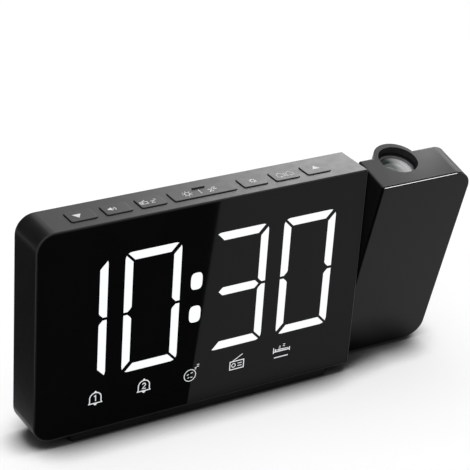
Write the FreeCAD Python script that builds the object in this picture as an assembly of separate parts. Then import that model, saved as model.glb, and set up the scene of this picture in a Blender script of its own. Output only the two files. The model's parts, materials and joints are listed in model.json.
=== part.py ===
import FreeCAD, Part
import os
from math import atan2, cos, pi, radians, sin, sqrt
from FreeCAD import Vector

# Projection alarm clock: a flat display body on a foot strip, with a tilting projector arm at its right end.
# Millimetres. X runs along the width, Y from the display to the rear, Z up.
# The origin lies on the table under the middle of the body.

# Body
body_width = 144.8
body_depth = 18.5
body_height = 89.5
corner_radius = 7.8
end_radius = 0.8
edge_round = 0.4
wall = 2.0
fit_gap = 0.1
screw_gap = 0.02

# Front panel and the housing's front frame
panel_thickness = 2.0
panel_rim = 0.55
frame_wall = 1.5

# Rear cover
cover_thickness = 1.8
cover_rim = 1.2
boss_radius = 2.6
foot_boss_height = 3.8
hole_floor = 0.5
thin_hole_floor = 0.4
hole_gap = 0.15
head_gap = 0.2
vent_count = 5
vent_pitch = 3.2
vent_length = 30.0
vent_height = 1.4
vent_drop = 3.0

# Foot
foot_height = 3.4
pad_thickness = 1.2
pad_recess = 0.8
pad_margin = 2.5
foot_length = 118.9
foot_depth = 22.6
foot_offset = 3.25
foot_setback = 0.9
foot_radius = 2.0

# Buttons
cap_width = 10.8
wide_cap_width = 27.3
cap_depth = 7.6
cap_radius = 1.0
cap_raise = 0.4
cap_gap = 0.25
cap_travel = 0.6
cap_flange = 0.7
flange_thickness = 1.0
small_gap = 3.75
wide_gap = 3.25
row_offset = 0.95
row_setback = 4.65
stem_radius = 1.7
stem_length = 1.7
bar_length = 5.6
bar_width = 0.7
bar_height = 0.5

# Tact switches and their board
switch_size = 6.0
switch_height = 2.4
plunger_radius = 1.6
plunger_height = 1.0
plunger_gap = 0.1
plunger_depth = 1.0
board_thickness = 1.0
board_margin = 2.0

# Display
digit_width = 24.2
digit_height = 52.2
digit_pitch = 31.3
digit_stroke = 3.75
digit_radius = 2.8
segment_gap = 0.55
colon_space = 38.7
colon_width = 5.1
colon_height = 7.35
colon_rise = 7.3
display_offset = -4.1
digit_rise = 48.9
icon_rise = 14.4
icon_pitch = 21.13
icon_size = 7.6
frame_margin = 1.2
frame_depth = 7.6
frame_gap = 0.2
led_size = 2.0
led_height = 0.8
guide_depth = 5.0

# Main board and loudspeaker behind the display
main_board_width = 54.0
main_board_height = 42.0
main_board_left = -20.0
main_board_rise = 16.0
main_board_gap = 2.4
main_post_inset = 3.0
main_post_radius = 2.0
main_screw_length = 3.8
speaker_radius = 14.0
speaker_depth = 4.6
speaker_left = -44.0
speaker_rise = 43.0
speaker_hole = 0.75
speaker_hole_pitch = 3.4
speaker_ring = 1.2
speaker_collar = 3.0
speaker_border = 3.2
gasket_thickness = 0.4

# Coin cell
cell_radius = 10.0
cell_height = 3.2
cell_left = 47.0
cell_rise = 64.0
door_radius = 11.4
door_gap = 0.2
door_thickness = 1.5
lug_reach = 1.0
lug_thickness = 0.8
lug_angle = 30.0
unlock_angle = 60.0
cup_wall = 1.0
cup_base = 0.8
cell_gap = 0.25
lug_gap = 0.1
lug_track_gap = 0.3
lug_turn_gap = 3.0
contact_thickness = 0.3
coin_slot_length = 12.0
coin_slot_width = 1.8
coin_slot_depth = 0.8

# Power board, sockets
power_board_left = 10.5
power_screw_inset = 2.2
power_screw_reach = 3.0
power_screw_y = -2.0
power_screw_bite = 1.2
power_board_width = 40.5
power_board_depth = 12.0
power_board_lift = 0.5
usb_width = 13.2
usb_height = 5.6
usb_depth = 13.6
usb_inset = 11.5
usb_skin = 0.4
jack_width = 7.5
jack_height = 5.4
jack_depth = 11.5
jack_inset = 7.0
jack_bore = 1.8
jack_pin = 0.6
socket_inset = 0.4

# Screws
screw_radius = 1.1
screw_head_radius = 2.1
screw_head_height = 1.1
screw_length = 8.0
small_screw_radius = 0.7
small_head_radius = 1.3
small_head_height = 0.8
button_screw_length = 4.5
display_screw_length = 5.0

# Projector arm
arm_gap = 0.6
arm_width = 44.2
arm_height = 89.8
arm_wall = 1.8
arm_proud = 0.65
arm_tilt = 13.5
plate_edge = 0.7
plate_reveal = 0.65
plate_inset = 1.0
plate_spigot = 1.0
post_radius = 2.4
post_drop = 4.2

# Pivot
pivot_setback = 12.8
shaft_radius = 2.5
shaft_bore = 1.4
shaft_in_arm = 8.0
shaft_gap = 0.05
bush_wall = 0.85
bush_length = 5.0
pivot_boss_wall = 1.7
spring_thickness = 0.8
stop_thickness = 0.8
stop_radius = 3.7
stop_reach = 1.9
stop_half_angle = 12.0
stop_block_angle = 16.0
arm_half_range = 90.0
clip_thickness = 0.6
clip_groove = 0.4
clip_reach = 0.9
shaft_tail = 0.8
cable_radius = 1.0
cable_bend = 2.9
cable_run = 3.0

# Projector optics, measured down from the arm's top
optics_left = 16.9
optics_setback = 15.35
bore_radius = 8.25
tube_wall = 1.3
bulge_radius = 9.5
bulge_offset = 1.15
tube_floor = 1.5
barrel_gap = 0.1
barrel_start = 3.6
barrel_length = 20.4
barrel_bore = 6.7
lens_radius = 7.5
lens_edge = 1.6
lens_dome = 1.5
lens_window = 6.95
lens_ring_height = 0.9
slot_start = 12.0
slot_height = 7.0
ring_radius = 11.2
ring_clearance = 0.2
thread_gap = 0.08
knurl_count = 36
knurl_radius = 0.5
focus_room = 3.5
holder_length = 10.9
holder_gap = 0.1
holder_bore = 6.2
lcd_width = 9.6
lcd_height = 7.0
lcd_thickness = 1.6
condenser_inset = 4.0
condenser_edge = 1.2
condenser_dome = 1.6
led_board_thickness = 1.0
projection_led_size = 3.0
projection_led_height = 1.2

# Places worked out from the sizes above
left = -body_width / 2
right = body_width / 2
front = -body_depth / 2
rear = body_depth / 2
bottom = pad_thickness - pad_recess + foot_height
top = bottom + body_height
panel_back = front + panel_thickness
frame_back = panel_back + frame_wall
cover_front = rear - cover_thickness
pivot_y = front + pivot_setback
pivot_z = bottom + body_height / 2
usb_left = power_board_left + usb_inset
jack_left = power_board_left + power_board_width - jack_inset
pivot = Vector(right, pivot_y, pivot_z)
arm_left = right + arm_gap
arm_right = arm_left + arm_width
arm_bottom = pivot_z - arm_height / 2
arm_top = pivot_z + arm_height / 2
arm_front = front - arm_proud
shell_front = arm_front + plate_edge + plate_reveal
holder_start = barrel_start + barrel_length + focus_room
holder_end = holder_start + holder_length
condenser_start = holder_start + condenser_inset
tube_depth = holder_end + holder_gap + tube_floor
optics_x = arm_left + optics_left
optics_y = arm_front + optics_setback
cap_bottom = top - wall
button_board_top = cap_bottom - flange_thickness - stem_length - plunger_height - switch_height
button_board_bottom = button_board_top - board_thickness
digit_z = bottom + digit_rise
icon_z = bottom + icon_rise
display_x = display_offset
frame_left = display_x - colon_space / 2 - digit_pitch - digit_width / 2 - frame_margin
frame_right = display_x + colon_space / 2 + digit_pitch + digit_width / 2 + frame_margin
frame_bottom = icon_z - icon_size / 2 - frame_margin
frame_top = digit_z + digit_height / 2 + frame_margin
display_back = panel_back + frame_depth
display_board_back = display_back + board_thickness
main_back = cover_front - main_board_gap
main_front = main_back - board_thickness
speaker_z = bottom + speaker_rise
cell_z = bottom + cell_rise
power_bottom = bottom + wall + power_board_lift
power_top = power_bottom + board_thickness


def box(x0, x1, y0, y1, z0, z1):
    return Part.makeBox(x1 - x0, y1 - y0, z1 - z0, Vector(x0, y0, z0))


def rod(radius, start, end):
    axis = end - start
    return Part.makeCylinder(radius, axis.Length, start, axis)


def ring(outer, inner, start, end):
    return rod(outer, start, end).cut(rod(inner, start, end))


def join(shapes):
    solid = shapes[0].multiFuse(shapes[1:])
    return solid.removeSplitter()


def outline(u0, u1, v0, v1, radii, place):
    """Closed rectangle with its own corner radii: low left, low right, high right, high left."""
    corners = [(u0, v0, 1, 1), (u1, v0, -1, 1), (u1, v1, -1, -1), (u0, v1, 1, -1)]
    edges = []
    first = None
    last = None
    for index, ((u, v, su, sv), radius) in enumerate(zip(corners, radii)):
        along_v = place(u, v + sv * radius)
        along_u = place(u + su * radius, v)
        start, end = (along_v, along_u) if index % 2 == 0 else (along_u, along_v)
        if last is None:
            first = start
        else:
            edges.append(Part.LineSegment(last, start).toShape())
        if radius > 0:
            inset = radius * (1 - sqrt(0.5))
            middle = place(u + su * inset, v + sv * inset)
            edges.append(Part.Arc(start, middle, end).toShape())
        last = end
    edges.append(Part.LineSegment(last, first).toShape())
    return Part.Wire(edges)


def upright_slab(x0, x1, z0, z1, y0, y1, radii):
    """Plate standing in the XZ plane from y0 to y1, with rounded corners."""
    wire = outline(x0, x1, z0, z1, radii, lambda u, v: Vector(u, y0, v))
    return Part.Face(wire).extrude(Vector(0, y1 - y0, 0))


def flat_slab(x0, x1, y0, y1, z0, z1, radius):
    """Plate lying in the XY plane from z0 to z1, with rounded corners."""
    wire = outline(x0, x1, y0, y1, [radius] * 4, lambda u, v: Vector(u, v, z0))
    return Part.Face(wire).extrude(Vector(0, 0, z1 - z0))


def body_slab(inset, y0, y1):
    """Slab with the body's front outline, drawn in by inset."""
    big = max(corner_radius - inset, end_radius)
    small = max(end_radius - inset, 0.2)
    return upright_slab(left + inset, right - inset, bottom + inset, top - inset, y0, y1, [big, small, small, big])


def arm_slab(inset, y0, y1):
    """Slab with the arm's front outline, drawn in by inset."""
    big = max(corner_radius - inset, end_radius)
    small = max(end_radius - inset, 0.2)
    return upright_slab(
        arm_left + inset, arm_right - inset, arm_bottom + inset, arm_top - inset, y0, y1, [small, big, big, small]
    )


def round_rim(solid, y, radius):
    """Round the outer edges of a slab that lie in the plane y."""
    edges = []
    for edge in solid.Edges:
        box_of_edge = edge.BoundBox
        if abs(box_of_edge.YMin - y) < 1e-6 and abs(box_of_edge.YMax - y) < 1e-6:
            edges.append(edge)
    return solid.makeFillet(radius, edges)


def round_top(solid, z, radius):
    """Round the edges of a flat slab that lie in the plane z."""
    edges = []
    for edge in solid.Edges:
        box_of_edge = edge.BoundBox
        if abs(box_of_edge.ZMin - z) < 1e-6 and abs(box_of_edge.ZMax - z) < 1e-6:
            edges.append(edge)
    return solid.makeFillet(radius, edges)


def screw(seat, direction, radius, length, head_radius, head_height):
    """Cross-head screw whose head sits on the seat point and whose shank runs along direction."""
    head_top = seat - direction * head_height
    solid = join([rod(head_radius, head_top, seat), rod(radius, seat, seat + direction * length)])
    recess_depth = head_height * 0.6
    side = Vector(direction.y, direction.z, direction.x)
    other = direction.cross(side)
    for one, two in ((side, other), (other, side)):
        half = one * (head_radius * 0.6)
        thin = two * (head_radius * 0.14)
        points = [head_top - half - thin, head_top + half - thin, head_top + half + thin, head_top - half + thin]
        face = Part.Face(Part.makePolygon(points + points[:1]))
        solid = solid.cut(face.extrude(direction * recess_depth))
    return solid


def case_screw(seat, direction):
    return screw(seat, direction, screw_radius, screw_length, screw_head_radius, screw_head_height)


def small_screw(seat, direction, length):
    return screw(seat, direction, small_screw_radius, length, small_head_radius, small_head_height)


def tilt(solid):
    """Turn an upright arm piece about the shaft into the stored pose, its top to the front."""
    turned = solid.copy()
    turned.rotate(pivot, Vector(1, 0, 0), arm_tilt)
    return turned


# Fastener places
boss_drop = 1.4
boss_lift = 0.4
boss_inset = 1.2
middle_boss_x = -20.0
top_boss_z = top - wall - boss_radius - boss_drop
low_boss_z = bottom + wall + boss_radius + boss_lift
end_boss_x = right - wall - boss_radius - boss_inset
cover_boss_points = [
    (left + corner_radius, top - corner_radius),
    (end_boss_x, top_boss_z),
    (left + corner_radius, low_boss_z),
    (middle_boss_x, low_boss_z),
    (end_boss_x, low_boss_z),
]
foot_left = foot_offset - foot_length / 2
foot_right = foot_offset + foot_length / 2
foot_screw_left_inset = 8.0
foot_screw_right_inset = 5.5
foot_screw_middle = 4.5
foot_screw_xs = [foot_left + foot_screw_left_inset, foot_screw_middle, foot_right - foot_screw_right_inset]
display_screw_left = -50.0
display_screw_right = 45.0
display_screw_xs = [display_screw_left, display_screw_right]
display_boss_radius = 1.65
display_boss_gap = 0.3
display_screw_z = button_board_bottom - display_boss_radius - display_boss_gap
button_boss_radius = 1.4
button_boss_gap = 0.25
button_boss_y = cover_front - button_boss_radius - button_boss_gap
# between the buttons
button_screw_xs = [-43.0, -12.0, 30.5, 59.0]
power_screw_points = [
    (power_board_left + power_screw_inset, power_screw_y),
    (jack_left - jack_width / 2 - power_screw_reach, power_screw_y),
]


# Button places
def button_centres():
    """Name, middle and width of each cap, from left to right."""
    inner = wide_cap_width / 2 + wide_gap + cap_width / 2
    pitch = cap_width + small_gap
    left_names = ["down", "volume", "radio_sleep"]
    right_names = ["set", "alarm", "up"]
    rows = []
    for index, name in enumerate(left_names):
        rows.append((name, row_offset - inner - (2 - index) * pitch, cap_width))
    rows.append(("snooze_light", row_offset, wide_cap_width))
    for index, name in enumerate(right_names):
        rows.append((name, row_offset + inner + index * pitch, cap_width))
    return rows


cap_front = front + row_setback
cap_rear = cap_front + cap_depth
cap_y = (cap_front + cap_rear) / 2
flange_out = cap_gap + cap_flange


def button_cap(x, width):
    """Cap with its raised top, the flange that holds it under the wall, and the stem over its switch."""
    cap = flat_slab(x - width / 2, x + width / 2, cap_front, cap_rear, cap_bottom, top + cap_raise, cap_radius)
    cap = round_top(cap, top + cap_raise, cap_raise * 0.6)
    flange = flat_slab(
        x - width / 2 - flange_out, x + width / 2 + flange_out,
        cap_front - flange_out, cap_rear + flange_out,
        cap_bottom - flange_thickness, cap_bottom, cap_radius,
    )
    stem_top = cap_bottom - flange_thickness
    stem = rod(stem_radius, Vector(x, cap_y, stem_top - stem_length), Vector(x, cap_y, stem_top))
    return join([cap, flange, stem])


def tactile_bar(x):
    """Small raised bar along the rear edge of the wide cap."""
    bar_rear = cap_rear - bar_width * 0.6
    z = top + cap_raise
    bar = flat_slab(
        x - bar_length / 2, x + bar_length / 2, bar_rear - bar_width, bar_rear, z - bar_height, z + bar_height,
        bar_width * 0.4,
    )
    return round_top(bar, z + bar_height, bar_width * 0.2)


plunger_top = cap_bottom - flange_thickness - stem_length
switch_top = plunger_top - plunger_height


def switch_plunger(x):
    return rod(plunger_radius, Vector(x, cap_y, switch_top - plunger_depth), Vector(x, cap_y, plunger_top))


def switch_body(x):
    half = switch_size / 2
    body = box(x - half, x + half, cap_y - half, cap_y + half, button_board_top, switch_top)
    well_depth = plunger_depth + cap_travel + plunger_gap
    well = rod(plunger_radius + plunger_gap, Vector(x, cap_y, switch_top - well_depth), Vector(x, cap_y, switch_top))
    return body.cut(well)


# Digits
def digit_segments(x):
    """The seven segments of one digit as outlines, mitred at 45 degrees with a narrow gap between them."""
    w = digit_width
    h = digit_height
    t = digit_stroke
    g = segment_gap / sqrt(2)
    half = h / 2
    horizontal = [(g, h), (w - g, h), (w - t - g, h - t), (t + g, h - t)]
    vertical = [(0, h - g), (t, h - t - g), (t, half + t / 2 + g), (t / 2, half + g), (0, half + g)]
    middle = [
        (t / 2 + g, half), (t + g, half + t / 2), (w - t - g, half + t / 2),
        (w - t / 2 - g, half), (w - t - g, half - t / 2), (t + g, half - t / 2),
    ]
    shapes = [horizontal, [(u, h - v) for u, v in horizontal], middle]
    for mirrored in (False, True):
        for flipped in (False, True):
            shapes.append([(w - u if mirrored else u, h - v if flipped else v) for u, v in vertical])
    low = digit_z - h / 2
    return [[(x - w / 2 + u, low + v) for u, v in shape] for shape in shapes]


def digit_middles():
    near = colon_space / 2
    return [display_x - near - digit_pitch, display_x - near, display_x + near, display_x + near + digit_pitch]


def prism(points, y0, y1):
    wire = Part.makePolygon([Vector(u, y0, v) for u, v in points + points[:1]])
    return Part.Face(wire).extrude(Vector(0, y1 - y0, 0))


def light_guides(y0, y1, shrink):
    """One solid for each segment, colon dot and icon window of the display."""
    solids = []
    for x in digit_middles():
        rim = upright_slab(
            x - digit_width / 2, x + digit_width / 2, digit_z - digit_height / 2, digit_z + digit_height / 2,
            y0, y1, [digit_radius] * 4,
        )
        for points in digit_segments(x):
            solids.append(prism(points, y0, y1).common(rim).Solids[0])
    half_width = colon_width / 2 - shrink
    half_height = colon_height / 2 - shrink
    for side in (-1, 1):
        z = digit_z + side * colon_rise
        solids.append(upright_slab(
            display_x - half_width, display_x + half_width, z - half_height, z + half_height,
            y0, y1, [half_width * 0.9] * 4,
        ))
    half = icon_size / 2 - shrink
    for index in range(5):
        x = display_x + (index - 2) * icon_pitch
        solids.append(upright_slab(x - half, x + half, icon_z - half, icon_z + half, y0, y1, [0.8] * 4))
    return solids


def led_points():
    """One light source behind each guide."""
    points = []
    w = digit_width / 2 - digit_stroke / 2
    h = digit_height / 2 - digit_stroke / 2
    for x in digit_middles():
        for u, v in ((0, h), (0, -h), (0, 0), (-w, h / 2), (w, h / 2), (-w, -h / 2), (w, -h / 2)):
            points.append((x + u, digit_z + v))
    for side in (-1, 1):
        points.append((display_x, digit_z + side * colon_rise))
    for index in range(5):
        points.append((display_x + (index - 2) * icon_pitch, icon_z))
    return points


# Housing
def make_housing():
    """Shell open at the rear, with the front frame, the bosses and the pivot boss at its right end."""
    shell = body_slab(0, front, rear)
    shell = round_rim(shell, front, edge_round)
    shell = round_rim(shell, rear, edge_round)
    shell = shell.cut(body_slab(wall, frame_back, rear + 1))
    shell = shell.cut(body_slab(cover_rim, cover_front, rear + 1))
    shell = shell.cut(body_slab(panel_rim, front - 1, panel_back))
    window = upright_slab(
        frame_left - frame_gap, frame_right + frame_gap, frame_bottom - frame_gap, frame_top + frame_gap,
        panel_back, frame_back, [0.6] * 4,
    )
    shell = shell.cut(window)
    bosses = []
    for x, z in cover_boss_points:
        bosses.append(rod(boss_radius, Vector(x, frame_back, z), Vector(x, cover_front, z)))
    for x in foot_screw_xs:
        bosses.append(rod(boss_radius, Vector(x, 0, bottom), Vector(x, 0, bottom + wall + foot_boss_height)))
    for x in display_screw_xs:
        bosses.append(rod(
            display_boss_radius, Vector(x, frame_back, display_screw_z), Vector(x, display_back, display_screw_z)
        ))
    for x in button_screw_xs:
        bosses.append(rod(
            button_boss_radius, Vector(x, button_boss_y, button_board_top), Vector(x, button_boss_y, cap_bottom)
        ))
    for x, y in power_screw_points:
        bosses.append(rod(boss_radius * 0.7, Vector(x, y, bottom), Vector(x, y, power_bottom)))
    bosses.append(pivot_boss())
    shell = join([shell] + bosses)
    cuts = []
    for x, z in cover_boss_points:
        cuts.append(rod(screw_radius + screw_gap, Vector(x, frame_back + hole_floor, z), Vector(x, rear, z)))
    for x in foot_screw_xs:
        cuts.append(rod(
            screw_radius + screw_gap, Vector(x, 0, bottom - 1),
            Vector(x, 0, foot_head_seat + screw_length + thin_hole_floor),
        ))
    for x in display_screw_xs:
        z = display_screw_z
        cuts.append(rod(
            small_screw_radius + screw_gap, Vector(x, frame_back + hole_floor, z), Vector(x, display_back, z)
        ))
    for x in button_screw_xs:
        y = button_boss_y
        cuts.append(rod(
            small_screw_radius + screw_gap, Vector(x, y, button_board_top), Vector(x, y, cap_bottom - thin_hole_floor)
        ))
    for x, y in power_screw_points:
        cuts.append(rod(
            small_screw_radius + screw_gap, Vector(x, y, bottom + thin_hole_floor), Vector(x, y, power_bottom)
        ))
    for name, x, width in button_centres():
        cuts.append(flat_slab(
            x - width / 2 - cap_gap, x + width / 2 + cap_gap, cap_front - cap_gap, cap_rear + cap_gap,
            cap_bottom, top + 1, cap_radius + cap_gap,
        ))
    cuts.append(rod(bush_outer + screw_gap, Vector(right - bush_length, pivot_y, pivot_z), pivot + Vector(1, 0, 0)))
    return shell.cut(Part.makeCompound(cuts))


# Pivot
bush_inner = shaft_radius + shaft_gap
bush_outer = bush_inner + bush_wall
boss_end = right - bush_length
spring_end = boss_end - spring_thickness
stop_end = spring_end - stop_thickness
clip_start = stop_end - 0.1
clip_end = clip_start - clip_thickness
shaft_end = clip_end - shaft_tail
boss_outer = bush_outer + pivot_boss_wall


def on_axis(x):
    return Vector(x, pivot_y, pivot_z)


def sector(inner, outer, x0, x1, middle_angle, half_angle):
    """Part of a ring about the shaft, its middle turned from the front side towards the top."""
    solid = ring(outer, inner, on_axis(x0), on_axis(x1))
    reach = outer * 3
    edges = []
    for side in (-1, 1):
        angle = radians(middle_angle + side * half_angle)
        edges.append(Vector(x0, pivot_y - reach * cos(angle), pivot_z + reach * sin(angle)))
    wedge = Part.Face(Part.makePolygon([on_axis(x0)] + edges + [on_axis(x0)])).extrude(Vector(x1 - x0, 0, 0))
    return solid.common(wedge)


def pivot_boss():
    """Boss round the bush, with two blocks that stop the stop washer's lug at either end of the travel."""
    boss = rod(boss_outer, on_axis(boss_end), on_axis(right - wall / 2))
    parts = [boss]
    reach = stop_radius + stop_reach
    block_middle = arm_half_range + stop_half_angle + stop_block_angle / 2 + 2.0
    for side in (-1, 1):
        parts.append(sector(
            stop_radius + 0.3, reach + 0.8, stop_end, boss_end + 0.5, side * block_middle, stop_block_angle / 2
        ))
    solid = join(parts)
    beyond = box(stop_end - 1, right + 1, cover_front - fit_gap, rear + 10, pivot_z - 20, pivot_z + 20)
    return solid.cut(beyond)


def make_stop_washer():
    """Washer keyed to the shaft, with a lug at its front that meets a block at either end of the travel."""
    disc = rod(stop_radius, on_axis(stop_end), on_axis(spring_end))
    lug = sector(
        stop_radius - 0.5, stop_radius + stop_reach, stop_end, spring_end, 0, stop_half_angle
    )
    hole = rod(shaft_radius + screw_gap, on_axis(stop_end), on_axis(spring_end))
    return join([disc, lug]).cut(hole)


def make_friction_spring():
    """Coned spring washer pressed between the bush and the stop washer."""
    thin = spring_thickness / 2
    inner = shaft_radius + 0.1
    points = [
        Vector(spring_end, pivot_y, pivot_z + inner),
        Vector(spring_end + thin, pivot_y, pivot_z + inner),
        Vector(boss_end, pivot_y, pivot_z + stop_radius),
        Vector(boss_end - thin, pivot_y, pivot_z + stop_radius),
    ]
    face = Part.Face(Part.makePolygon(points + points[:1]))
    return face.revolve(on_axis(spring_end), Vector(1, 0, 0), 360)


def make_shaft():
    shaft = ring(shaft_radius, shaft_bore, on_axis(shaft_end), on_axis(arm_left + shaft_in_arm))
    groove = ring(
        shaft_radius + 1, shaft_radius - clip_groove, on_axis(clip_end - 0.03), on_axis(clip_start + 0.03)
    )
    return shaft.cut(groove)


def make_shaft_clip():
    clip = ring(shaft_radius + clip_reach, shaft_radius - clip_groove + 0.03, on_axis(clip_end), on_axis(clip_start))
    mouth = box(
        clip_end - 1, clip_start + 1, pivot_y - shaft_radius * 3, pivot_y, pivot_z - 1.5, pivot_z + 1.5
    )
    return clip.cut(mouth)


# Arm
tube_bottom = arm_top - tube_depth
tube_floor_top = tube_bottom + tube_floor
post_top = arm_top - corner_radius - post_drop
post_points = [
    (arm_right - corner_radius, arm_bottom + corner_radius),
    (arm_right - corner_radius, post_top),
    (arm_left + corner_radius, arm_bottom + corner_radius),
    (arm_right - corner_radius, pivot_z),
]
cable_x = arm_left + shaft_in_arm + cable_run + cable_bend


def optics_point(depth):
    return Vector(optics_x, optics_y, arm_top - depth)


def optics_rod(radius, depth0, depth1):
    return rod(radius, optics_point(depth1), optics_point(depth0))


def make_arm_shell():
    """Box open to the front, with the optics tube, the bulge at its rear, the shaft boss and the screw seats."""
    shell = arm_slab(0, shell_front, rear)
    shell = round_rim(shell, rear, edge_round * 2)
    shell = shell.cut(arm_slab(arm_wall, shell_front - 1, rear - arm_wall))
    bulge_y = optics_y + bulge_offset
    bulge_low = Vector(optics_x, bulge_y, tube_bottom)
    bulge = rod(bulge_radius, bulge_low, Vector(optics_x, bulge_y, arm_top))
    dome = Part.makeSphere(bulge_radius, bulge_low)
    tube = optics_rod(bore_radius + tube_wall, 0, tube_depth)
    lower_half = box(
        optics_x - bulge_radius, optics_x + bulge_radius, rear - arm_wall, rear + bulge_radius * 2,
        tube_bottom - bulge_radius, tube_bottom,
    )
    boss = rod(shaft_radius + pivot_boss_wall, on_axis(arm_left), on_axis(arm_left + shaft_in_arm))
    shell = join([shell, bulge, tube, dome.common(lower_half), boss])
    cuts = [optics_rod(bore_radius, -1, tube_depth - tube_floor)]
    cuts.append(optics_rod(ring_radius + ring_clearance, slot_start, slot_start + slot_height))
    cuts.append(rod(
        cable_radius + 0.3, Vector(cable_x, pivot_y, tube_bottom - 1), Vector(cable_x, pivot_y, tube_floor_top + 1)
    ))
    cuts.append(rod(shaft_radius + screw_gap, on_axis(arm_left - 1), on_axis(arm_left + shaft_in_arm + 1)))
    key_depth = slot_start + slot_height
    cuts.append(box(
        optics_x - 0.8, optics_x + 0.8, optics_y - bore_radius - 0.8, optics_y,
        arm_top - holder_start + 0.2, arm_top - key_depth,
    ))
    for x, z in post_points:
        cuts.append(rod(screw_radius + hole_gap, Vector(x, rear - arm_wall - 1, z), Vector(x, rear + 1, z)))
        cuts.append(rod(screw_head_radius + head_gap, Vector(x, rear - screw_head_height, z), Vector(x, rear + 1, z)))
    return shell.cut(Part.makeCompound(cuts))


def make_arm_plate():
    """Glossy front plate, its edge standing off the shell, with a spigot and posts for the rear screws."""
    plate = arm_slab(0, arm_front, arm_front + plate_edge)
    plate = round_rim(plate, arm_front, plate_edge * 0.5)
    neck = arm_slab(plate_inset, arm_front + plate_edge, shell_front)
    spigot = arm_slab(arm_wall + fit_gap, shell_front, shell_front + plate_spigot)
    posts = []
    for x, z in post_points:
        posts.append(rod(post_radius, Vector(x, shell_front, z), Vector(x, rear - arm_wall, z)))
    plate = join([plate, neck, spigot] + posts)
    cuts = []
    for x, z in post_points:
        cuts.append(rod(
            screw_radius + screw_gap,
            Vector(x, rear - screw_head_height - screw_length - thin_hole_floor, z), Vector(x, rear, z),
        ))
    return plate.cut(Part.makeCompound(cuts))


def revolve_optics(profile):
    """Solid of revolution about the optics axis. Each profile step is a (radius, depth) point, or an arc
    given as its middle and its end."""
    def place(step):
        return Vector(optics_x + step[0], optics_y, arm_top - step[1])

    edges = []
    here = place(profile[0])
    for step in profile[1:]:
        if isinstance(step[0], tuple):
            end = place(step[1])
            edges.append(Part.Arc(here, place(step[0]), end).toShape())
        else:
            end = place(step)
            edges.append(Part.LineSegment(here, end).toShape())
        here = end
    face = Part.Face(Part.Wire(edges))
    return face.revolve(optics_point(0), Vector(0, 0, 1), 360)


ring_top = barrel_start + 0.2
lens_top = ring_top + lens_ring_height
lens_bottom = lens_top + lens_edge
barrel_outer = bore_radius - barrel_gap


def dome_middle(radius, height):
    """Point halfway along the arc of a dome, as its radius and its height over the rim."""
    sphere = (radius * radius + height * height) / (2 * height)
    half_turn = atan2(height, radius)
    return sphere * sin(half_turn), sphere * cos(half_turn) - (sphere - height)


def make_barrel():
    """Lens barrel with a seat for the lens at its top and a key at its lower end that stops it from turning."""
    end = barrel_start + barrel_length
    barrel = optics_rod(barrel_outer, barrel_start, end)
    key = box(
        optics_x - 0.65, optics_x + 0.65, optics_y - bore_radius - 0.6, optics_y - barrel_bore - 0.4,
        arm_top - end, arm_top - end + 2.4,
    )
    barrel = join([barrel, key])
    bore = optics_rod(barrel_bore, barrel_start - 1, end + 1)
    seat = optics_rod(lens_radius + screw_gap, barrel_start - 1, lens_bottom)
    return barrel.cut(seat).cut(bore)


def make_projection_lens():
    middle = dome_middle(lens_window, lens_dome)
    return revolve_optics([
        (0, lens_bottom), (lens_radius, lens_bottom), (lens_radius, lens_top), (lens_window, lens_top),
        ((middle[0], lens_top - middle[1]), (0, lens_top - lens_dome)), (0, lens_bottom),
    ])


def make_lens_ring():
    return optics_rod(lens_radius, ring_top, lens_top).cut(optics_rod(lens_window, ring_top - 1, lens_top + 1))


def make_focus_ring():
    """Knurled ring round the barrel; its edge shows in the slot of the bulge."""
    start = slot_start + ring_clearance
    end = slot_start + slot_height - ring_clearance
    solid = optics_rod(ring_radius, start, end).cut(optics_rod(barrel_outer + thread_gap, start - 1, end + 1))
    notches = []
    for index in range(knurl_count):
        angle = 2 * pi * index / knurl_count
        reach = ring_radius + knurl_radius * 0.4
        shift = Vector(reach * cos(angle), reach * sin(angle), 0)
        notches.append(rod(knurl_radius, optics_point(end) + shift, optics_point(start) + shift))
    return solid.cut(Part.makeCompound(notches))


led_board_start = holder_end - led_board_thickness


def make_slide_holder():
    """Round holder under the barrel for the LCD, the condenser lens and the LED board."""
    holder = optics_rod(bore_radius - barrel_gap, holder_start, holder_end)
    lcd_low = holder_start + lcd_thickness
    holder = holder.cut(box(
        optics_x - lcd_width / 2 - fit_gap, optics_x + lcd_width / 2 + fit_gap,
        optics_y - lcd_height / 2 - fit_gap, optics_y + lcd_height / 2 + fit_gap,
        arm_top - lcd_low, arm_top - holder_start + 1,
    ))
    light = box(
        optics_x - lcd_width / 2 + 1, optics_x + lcd_width / 2 - 1,
        optics_y - lcd_height / 2 + 1, optics_y + lcd_height / 2 - 1,
        arm_top - condenser_start, arm_top - lcd_low,
    )
    holder = holder.cut(light)
    holder = holder.cut(optics_rod(holder_bore, condenser_start - condenser_dome, condenser_start + condenser_edge))
    holder = holder.cut(optics_rod(holder_bore - 1, condenser_start, led_board_start))
    return holder.cut(optics_rod(holder_bore + 1, led_board_start, holder_end + 1))


def make_condenser():
    middle = dome_middle(holder_bore - fit_gap, condenser_dome - 0.2)
    low = condenser_start + condenser_edge
    edge = holder_bore - fit_gap
    return revolve_optics([
        (0, low), (edge, low), (edge, condenser_start),
        ((middle[0], condenser_start - middle[1]), (0, condenser_start - condenser_dome + 0.2)), (0, low),
    ])


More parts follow.
